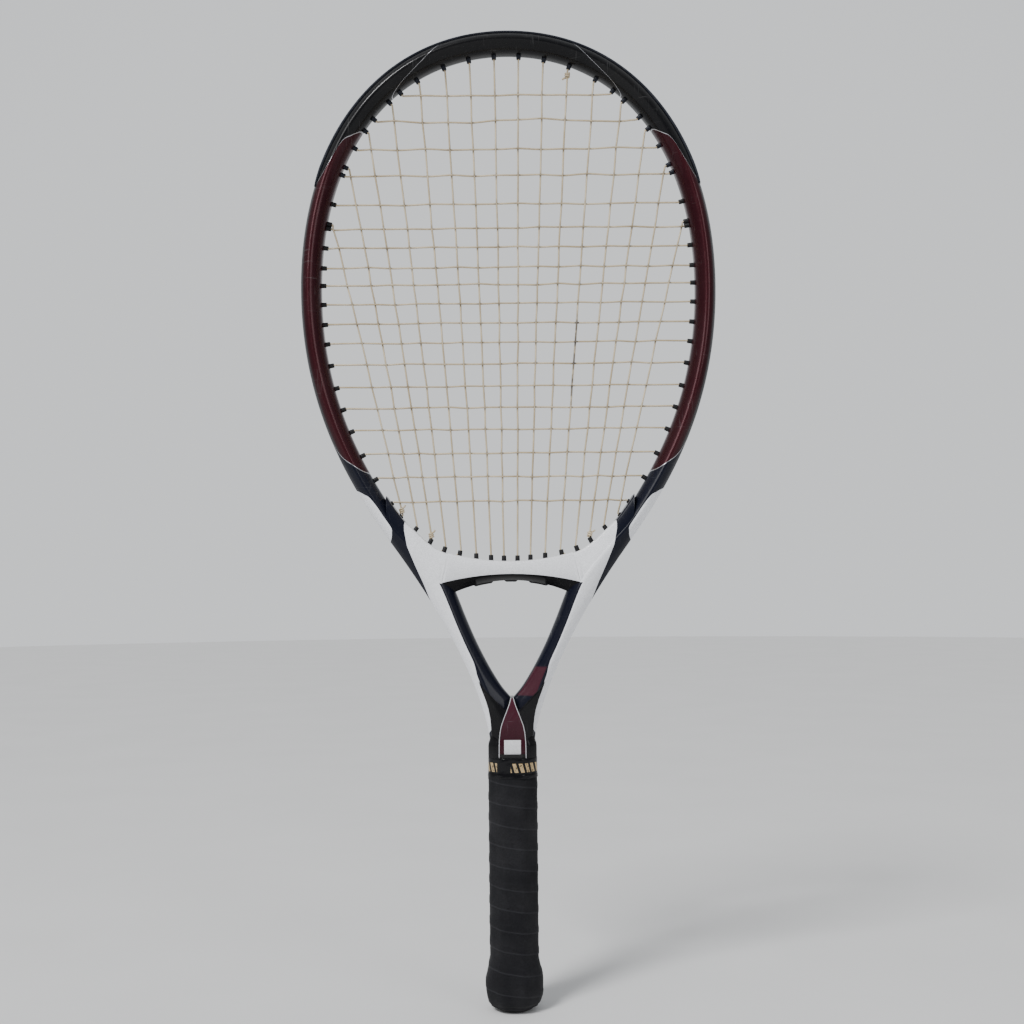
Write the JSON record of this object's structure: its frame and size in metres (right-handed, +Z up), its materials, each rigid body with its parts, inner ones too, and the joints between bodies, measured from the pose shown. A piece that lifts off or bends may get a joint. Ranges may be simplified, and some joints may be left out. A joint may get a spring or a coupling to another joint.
{
  "type": "tennis racket",
  "caption": "Adult tennis racket: hollow wide-body frame with a throat bridge, fanned woven strings in grommets, bumper guard, wrapped eight-sided handle and snap-in butt door.",
  "frame": {"origin": "centre of the flat butt end of the handle", "axes": "+Z up the racket from the butt to the top of the head, +X across the string bed, +Y out of the back of the string face; the front face looks along -Y"},
  "size_m": [0.2906, 0.0376, 0.6858],
  "materials": {
    "lacquered_laminate": "glossy lacquer over carbon laminate: black, burgundy and pearl white zones with silver lines",
    "pearl_laminate": "glossy pearl white lacquer",
    "guard_nylon": "satin moulded nylon",
    "grommet_nylon": "satin moulded nylon",
    "string": "natural tan multifilament, slightly translucent, worn where the ball lands",
    "pallet_foam": "dense moulded polyurethane foam with a painted skin",
    "cap_plastic": "moulded black plastic",
    "staple_steel": "plain steel wire",
    "base_grip": "black synthetic leather strip",
    "overgrip": "dark charcoal tacky overgrip, matt, wrapped in an overlapping spiral",
    "tape": "glossy black tape with plain gold bars"
  },
  "bodies": {
    "racket": {"frame": "lacquered_laminate", "bridge": "pearl_laminate", "bumper_guard": "guard_nylon", "left_grommet_strip": "grommet_nylon", "right_grommet_strip": "grommet_nylon", "throat_grommet_strip": "grommet_nylon", "main_string": "string", "cross_string": "string", "tie_off_knots": "string", "handle_pallet": "pallet_foam", "butt_cap": "cap_plastic", "butt_cap_staples": "staple_steel", "base_grip": "base_grip", "grip_staple": "staple_steel", "overgrip": "overgrip", "finishing_tape": "tape"},
    "door": {"trap_door": "cap_plastic"}
  },
  "joints": [
    {"name": "trap_door_pull", "type": "slide", "parent": "racket", "child": "door", "axis": [0, 0, -1], "range_m": [0, 0.01]}
  ]
}
